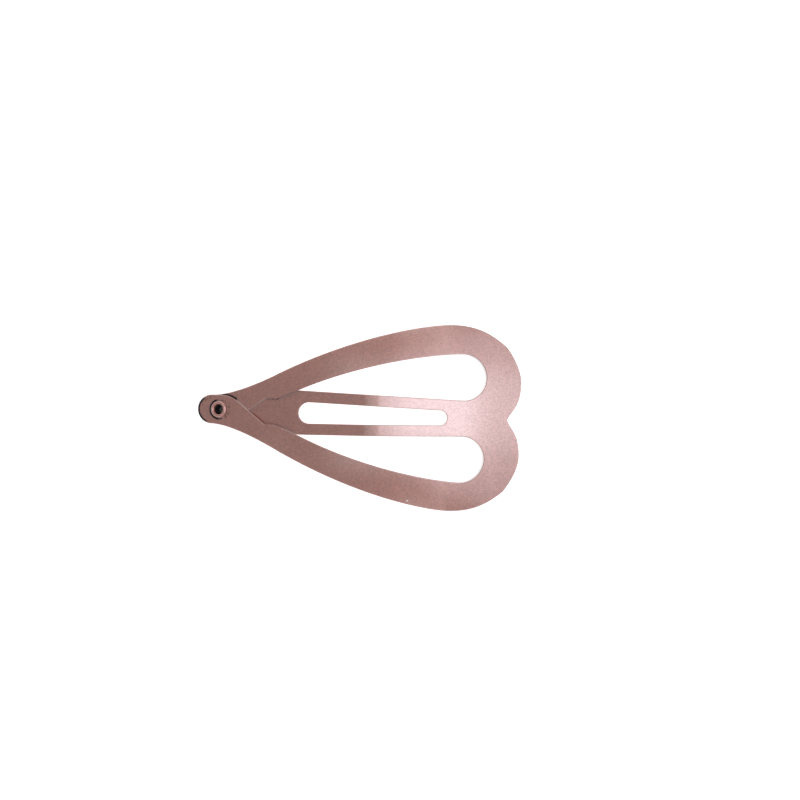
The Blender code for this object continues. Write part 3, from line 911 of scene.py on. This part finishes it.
def painted_edge_highlight(n, at, rim):
    """Where a highlight is painted along the arms' inner edges over the head."""
    place = n.add("ShaderNodeSeparateXYZ", Vector=at)
    x, y = place.outputs["X"], place.outputs["Y"]
    half_width, widening = EDGE_HIGHLIGHT_WITHIN
    reach = n.math("MAXIMUM", half_width, n.math("MULTIPLY", x, widening))
    past = n.math("SUBTRACT", n.math("ABSOLUTE", y), reach)
    inner = n.span(past, 0.0, EDGE_HIGHLIGHT_FADE, 1.0, 0.0)
    below = n.math("MULTIPLY", within(n, x, *EDGE_HIGHLIGHT_BELOW_X), n.span(y, -SOFT_END, 0.0, 1.0, 0.0))
    along = n.math("MAXIMUM", within(n, x, *EDGE_HIGHLIGHT_X), below)
    edge = n.math("MULTIPLY", n.span(rim, *EDGE_HIGHLIGHT_ON_RIM), inner)
    return n.math("MULTIPLY", along, edge)


def bore_bare_and_shade(n, at):
    """The rivet's bore below its roll, bare of lacquer and painted near-black as shade."""
    place = n.add("ShaderNodeSeparateXYZ", Vector=at)
    reach = n.vector("LENGTH", n.vector("MULTIPLY", at, (1, 1, 0)))
    bare_to, bare_from, radius = BORE_BARE_AND_SHADE
    deep = n.span(place.outputs["Z"], bare_to, bare_from, 1.0, 0.0)
    return n.math("MULTIPLY", deep, n.math("LESS_THAN", reach, radius))


def sheet_shade_light_and_spot(n, colour, at, rim, grain):
    """The sheet's colour with painted shade and painted fill light between sheets, a painted highlight
    on edges over the head and a pale spot, and its painted shadows.
    """
    open_air = n.open_air(SHADED_DISTANCE, AIR_SAMPLES)
    hidden = n.open_air(GAP_FILL_LIGHT_DISTANCE, AIR_SAMPLES)
    colour = n.mix(n.span(open_air, *SHADED_BY_AIR), colour, LACQUER_SHADED)
    # painted fill light deep between sheets, keyed on how enclosed the surface is
    colour = n.mix(n.span(hidden, *GAP_FILL_LIGHT_BY_AIR), colour, LACQUER_GAP_FILL_LIGHT)
    # painted highlight along the arms' inner edges over the head
    edge_highlight = n.math("MULTIPLY", painted_edge_highlight(n, at, rim), EDGE_HIGHLIGHT_SHARE)
    colour = n.mix(edge_highlight, colour, LACQUER_PAINTED_HIGHLIGHT)
    pale_spot = n.span(n.vector("DISTANCE", at, PALE_SPOT), PALE_SPOT_RADIUS / 2, PALE_SPOT_RADIUS, 1.0, 0.0)
    return n.mix(pale_spot, colour, PALE_SPOT_COLOUR), sheet_painted_shadows(n, at, open_air, grain)


def lacquer(name, finish, on_sheet):
    """Rose-gold metallic lacquer: fine flakes, a slight orange peel, thin on the sheet's edges."""
    rough, coat_rough, coat_ior = finish
    n = Nodes(name)
    plan = n.add("ShaderNodeAttribute", [("attribute_name", "plan")]).outputs["Vector"]
    rim = n.add("ShaderNodeAttribute", [("attribute_name", "rim")]).outputs["Fac"]
    at = n.scaled(plan, MM)
    flakes = n.add("ShaderNodeTexVoronoi", Vector=at, Scale=FLAKE_SCALE).outputs["Color"]
    flake = n.add("ShaderNodeSeparateColor", Color=flakes).outputs[0]
    grain = n.noise(at, *GRAIN_NOISE)
    mottle = n.noise(at, *MOTTLE_NOISE)

    bumped = n.add(
        "ShaderNodeBump", Strength=PEEL_STRENGTH, Distance=PEEL_DEPTH,
        Height=n.noise(at, *PEEL_NOISE),
    ).outputs[0]
    lean = n.scaled(n.vector("SUBTRACT", flakes, FLAKE_MIDDLE), FLAKE_LEAN)
    normal = n.vector("NORMALIZE", n.vector("ADD", bumped, lean))

    shade = n.math(
        "ADD", n.span(grain, *NOISE_REACH, -GRAIN_SHADE, GRAIN_SHADE),
        n.span(mottle, *NOISE_REACH, -MOTTLE_SHADE, MOTTLE_SHADE),
    )
    shade = n.math("ADD", shade, n.span(flake, 0, 1, -FLAKE_SHADE, FLAKE_SHADE))
    colour = n.mix(n.math("ADD", shade, 0.5), LACQUER_DEEP, LACQUER)
    colour = n.mix(n.span(rim, *THIN_ON_RIM), colour, LACQUER_THIN)
    if on_sheet:
        # on the sheet: painted shade, painted fill light, a painted highlight, a pale spot and painted
        # shadows
        colour, marks = sheet_shade_light_and_spot(n, colour, at, rim, grain)
    else:
        marks = bore_bare_and_shade(n, at)
    # painted shadows on the sheet, and in the bore bare metal with painted shade, all near-black
    colour = n.mix(marks, colour, PAINTED_SHADOW_AND_BARE_METAL)
    coat = n.math("MULTIPLY", n.math("SUBTRACT", 1.0, marks), n.span(flake, 0, 1, *FLAKE_COAT))
    coat = n.math("MULTIPLY", coat, n.span(rim, *COAT_ON_RIM))

    dulled = n.span(grain, *NOISE_REACH, -GRAIN_ROUGHNESS, GRAIN_ROUGHNESS)
    shader = n.add(
        "ShaderNodeBsdfPrincipled", Base_Color=colour, Roughness=n.math("ADD", rough, dulled),
        Normal=normal, Metallic=METALLIC, Coat_Weight=coat, Coat_Roughness=coat_rough,
        Coat_IOR=coat_ior,
    )
    n.add("ShaderNodeOutputMaterial", Surface=shader.outputs[0])
    return n.material


def floor_material():
    """White paper. The camera and mirrored rays see it nearly white; where light can't reach, its
    colour is painted near-black as shade and its glow fades.
    """
    n = Nodes("paper")
    path = n.add("ShaderNodeLightPath")
    seen = n.math("MAXIMUM", path.outputs["Is Camera Ray"], path.outputs["Is Glossy Ray"])
    seen = n.math("MAXIMUM", seen, path.outputs["Is Transmission Ray"])
    open_air = n.open_air(FLOOR_AIR_DISTANCE, FLOOR_AIR_SAMPLES)
    glow = n.math("MULTIPLY", seen, n.span(open_air, *GLOW_BY_AIR))
    scale, detail = FIBRE_NOISE
    fibre = n.add("ShaderNodeTexNoise", Scale=scale, Detail=detail).outputs[0]
    paper = n.mix(fibre, *PAPER_COLOURS)
    # painted shade: the paper turns near-black where it is enclosed
    paper = n.mix(n.span(open_air, *PAPER_PAINTED_SHADE_BY_AIR), paper, PAPER_PAINTED_SHADE)
    shader = n.add(
        "ShaderNodeBsdfPrincipled", Base_Color=paper, Roughness=PAPER_ROUGHNESS,
        Emission_Color=WHITE, Emission_Strength=glow,
    )
    n.add("ShaderNodeOutputMaterial", Surface=shader.outputs[0])
    return n.material


# The clip

def make_clip():
    """All the shown pieces, each in place of its CAD node; the crown and the rivet are put on their CAD
    bodies.
    """
    sheet_lacquer = lacquer("rose_lacquer", SHEET_FINISH, True)
    eyelet_lacquer = lacquer("rose_lacquer_eyelet", EYELET_FINISH, False)

    def finished(obj, material, slot, *nodes):
        obj.data.materials.append(material)
        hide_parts(*nodes)

    def bend(obj):
        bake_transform(obj)

    crown = sheet("crown_sheet", crown_plan(), frame_height, low=CROWN_CUT)
    finished(crown, sheet_lacquer, "lacquered_sheet", "crown")
    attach(crown, "crown")

    back, middle = arm_plan(BACK_CUT, CROWN_CUT), arm_plan(FRONT_CUT, BACK_CUT)
    left_front = flipped(arm_front_plan(EYELET_AHEAD + HOLE_SHIFT))
    right_front = arm_front_plan(EYELET_AHEAD - HOLE_SHIFT)
    sides = (
        ("left", back, middle, left_front, left_tip_height),
        ("right", flipped(back), flipped(middle), right_front, right_tip_height),
    )
    for side, back_plan, middle_plan, front_plan, tip_height in sides:
        arm = sheet(side + "_arm_back_sheet", back_plan, frame_height, BACK_CUT, CROWN_CUT)
        finished(arm, sheet_lacquer, "lacquered_sheet", side + "_arm_root")
        bend(arm)
        arm = sheet(side + "_arm_middle_sheet", middle_plan, frame_height, FRONT_CUT, BACK_CUT)
        finished(arm, sheet_lacquer, "lacquered_sheet", side + "_arm_middle")
        bend(arm)
        arm = sheet(side + "_arm_front_sheet", front_plan, tip_height, high=FRONT_CUT)
        finished(arm, sheet_lacquer, "lacquered_sheet", side + "_arm_tip")
        bend(arm)

    stations = [
        CREASE_X + CREASE_ROUND * 2 * (step / CREASE_STEPS - 0.5) for step in range(CREASE_STEPS + 1)
    ]
    tongue = sheet("tongue_sheet", tongue_plan(), tongue_height, high=CROWN_CUT, stations=stations)
    finished(tongue, sheet_lacquer, "lacquered_sheet", "tongue")
    bend(tongue)

    rivet = eyelet()
    finished(rivet, eyelet_lacquer, "lacquered_eyelet", "eyelet")
    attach(rivet, "arms_tip")


# Floor, light and camera

CAMERA_HEIGHT = 0.225
CAMERA_X = 0.00761
CAMERA_Y = 0.00302
CAMERA_TURN = math.radians(2.19)
PHOTO_SIDE = 800
PIXEL = 0.000187            # size of a photograph's pixel at the clip's mean height
MEAN_HEIGHT = 0.0022
SENSOR_WIDTH = 36
NEAR_CLIP = 0.01
FAR_CLIP = 10
FLOOR_RADIUS = 0.8
FLOOR_BEND = 0.3
FLOOR_BEND_STEP = 9         # degrees
FLOOR_BEND_STEPS = 9
FLOOR_WALL = 0.22
FLOOR_DROP = 0.00002
LAMP_DISTANCE = 0.5
COOL = (0.90, 0.92, 1)
NEUTRAL = (1, 1, 1)
ROOM_GLOW = 0.27

# As (name, degrees from straight above, degrees round from the lobes' side, size, radiance, colour)
LAMPS = (
    ("key", 45, 4, (0.9, 0.5), 0.61, COOL),
    ("heart", 47, 0, (0.44, 0.25), 1.25, COOL),
    ("high_heart", 36, 7, (0.3, 0.35), 0.62, COOL),
    ("above", 0, 90, (0.4, 0.8), 0.47, NEUTRAL),
    ("left_side", 73, 90, (0.6, 0.3), 0.33, NEUTRAL),
)


def make_floor():
    """A round sweep: flat under the clip, rising to a low wall far behind it on every side."""
    bm = bmesh.new()
    profile = [(FLOOR_RADIUS / 2, 0.0), (FLOOR_RADIUS, 0.0)]
    for step in range(1, FLOOR_BEND_STEPS + 1):
        a = math.radians(step * FLOOR_BEND_STEP)
        profile.append((FLOOR_RADIUS + FLOOR_BEND * math.sin(a), FLOOR_BEND * (1 - math.cos(a))))
    profile.append((FLOOR_RADIUS + FLOOR_BEND, FLOOR_BEND + FLOOR_WALL))
    rings = []
    for r, z in profile:
        ring = []
        for turn in range(ROUND_STEPS):
            angle = 2 * math.pi * turn / ROUND_STEPS
            ring.append(bm.verts.new((r * math.cos(angle), r * math.sin(angle), z - FLOOR_DROP)))
        rings.append(ring)
    bm.faces.new(rings[0])
    for inner, outer in zip(rings, rings[1:]):
        for i in range(ROUND_STEPS):
            j = (i + 1) % ROUND_STEPS
            bm.faces.new((inner[i], outer[i], outer[j], inner[j]))
    mesh = bpy.data.meshes.new("floor")
    bm.to_mesh(mesh)
    bm.free()
    mesh.shade_smooth()
    floor = bpy.data.objects.new("floor", mesh)
    bpy.context.scene.collection.objects.link(floor)
    floor.data.materials.append(floor_material())


def softbox(name, polar, turn, size, glow, colour):
    """A soft rectangular lamp that faces the clip, size as (level, upright)."""
    lamp = bpy.data.lights.new(name, "AREA")
    lamp.shape = "RECTANGLE"
    lamp.size, lamp.size_y = size
    lamp.energy = math.pi * glow * size[0] * size[1]
    lamp.color = colour
    obj = bpy.data.objects.new(name, lamp)
    turned = Matrix.Rotation(math.radians(turn - 90), 4, "Z")
    leaned = Matrix.Rotation(math.radians(-polar), 4, "X")
    away = Matrix.Translation((0, 0, LAMP_DISTANCE))
    obj.matrix_world = turned @ leaned @ away
    obj.visible_camera = False
    bpy.context.scene.collection.objects.link(obj)


def make_light():
    """Cool soft lamps on the lobes' side, neutral ones above and beside the clip and a dim room."""
    for lamp in LAMPS:
        softbox(*lamp)
    world = bpy.data.worlds.new("room")
    bpy.context.scene.world = world
    world.use_nodes = True
    background = world.node_tree.nodes["Background"]
    background.inputs["Color"].default_value = WHITE
    background.inputs["Strength"].default_value = ROOM_GLOW


def make_camera():
    """Straight above the photograph's middle, turned as the clip lies in it."""
    camera = bpy.data.cameras.new("camera")
    camera.sensor_width = SENSOR_WIDTH
    camera.lens = camera.sensor_width * (CAMERA_HEIGHT - MEAN_HEIGHT) / (PHOTO_SIDE * PIXEL)
    camera.clip_start = NEAR_CLIP
    camera.clip_end = FAR_CLIP
    obj = bpy.data.objects.new("camera", camera)
    obj.location = (CAMERA_X, CAMERA_Y, CAMERA_HEIGHT)
    obj.rotation_euler = (0, 0, CAMERA_TURN)
    bpy.context.scene.collection.objects.link(obj)
    bpy.context.scene.camera = obj


make_clip()
make_floor()
make_light()
make_camera()
bpy.context.scene.view_settings.view_transform = "Standard"

bpy.context.view_layer.update()
